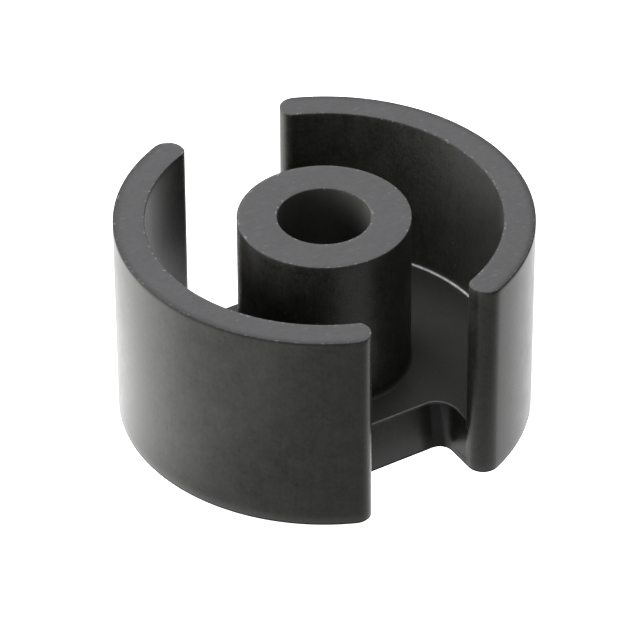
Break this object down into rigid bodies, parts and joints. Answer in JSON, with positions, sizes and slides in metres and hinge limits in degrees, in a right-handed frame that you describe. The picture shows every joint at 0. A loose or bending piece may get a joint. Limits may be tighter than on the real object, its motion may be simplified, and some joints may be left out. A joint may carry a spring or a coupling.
{
  "type": "ferrite pot core half",
  "caption": "Round ferrite pot core half: slotted skirt, hollow centre post and ground mating face, for a transformer or inductor.",
  "frame": {"origin": "core axis at the underside, which is the middle of the bounding box's bottom", "axes": "+Z along the core axis from the underside to the mating face; the two wire slots face -Y and +Y"},
  "size_m": [0.04, 0.037, 0.0213],
  "materials": {
    "ferrite": "pressed and sintered, matte dark grey; mating face, post top and underside ground"
  },
  "bodies": {
    "root": {"pot_core_half": "ferrite"}
  },
  "joints": []
}
